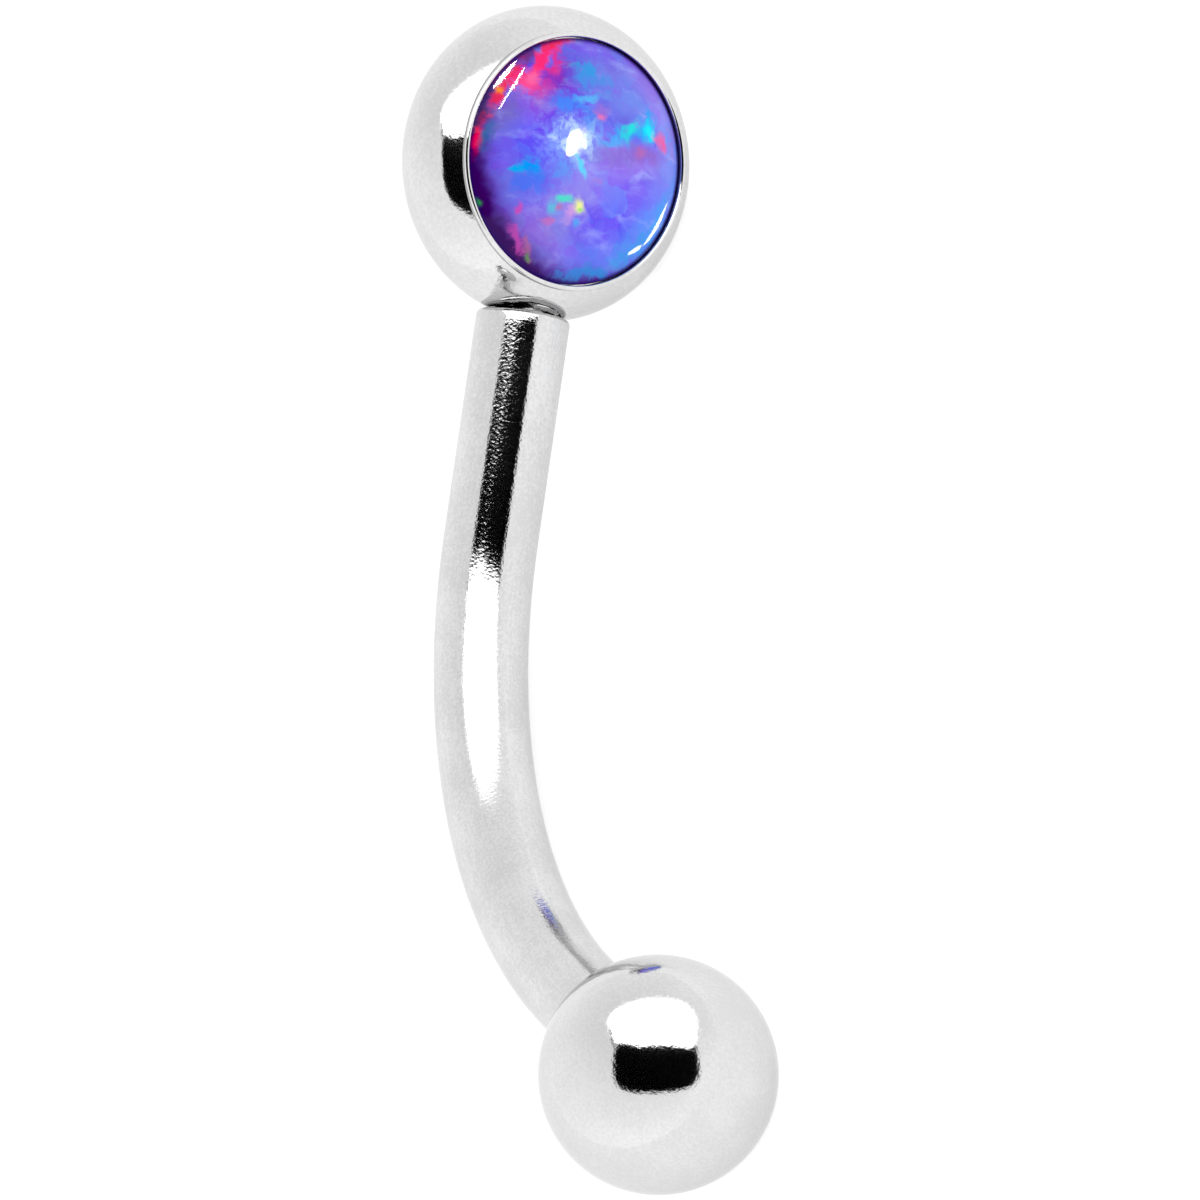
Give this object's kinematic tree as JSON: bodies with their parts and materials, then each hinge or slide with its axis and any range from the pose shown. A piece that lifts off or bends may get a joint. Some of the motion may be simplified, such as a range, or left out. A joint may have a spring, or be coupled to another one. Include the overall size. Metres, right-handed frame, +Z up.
{
  "type": "curved eyebrow barbell",
  "caption": "Curved steel eyebrow barbell with a domed opal in a screw-on setting at its upper end and a plain screw-on ball at the other.",
  "frame": {"origin": "middle of the object's footprint, on the flat surface that it lies on", "axes": "+Z up from the surface, +X from the opal end to the plain ball, +Y to the side that the stone faces; the bend bulges towards -Y"},
  "size_m": [0.0164, 0.0048, 0.0039],
  "materials": {
    "bar_steel": "fine polish with slight lengthwise lines",
    "polished_steel": "bright polish",
    "opal": "glossy dome, violet and blue with patches of cyan, pink and red"
  },
  "bodies": {
    "bar": {"curved_bar": "bar_steel"},
    "opal_end": {"opal_setting": "polished_steel", "opal_cabochon": "opal"},
    "ball_end": {"plain_ball": "polished_steel"}
  },
  "joints": [
    {"name": "opal_end_unscrews", "type": "slide", "parent": "bar", "child": "opal_end", "axis": [-0.8897, 0.4104, 0.1998], "range_m": [0, 0.003]},
    {"name": "ball_end_unscrews", "type": "slide", "parent": "bar", "child": "ball_end", "axis": [0.7994, 0.5637, 0.2078], "range_m": [0, 0.003]}
  ]
}
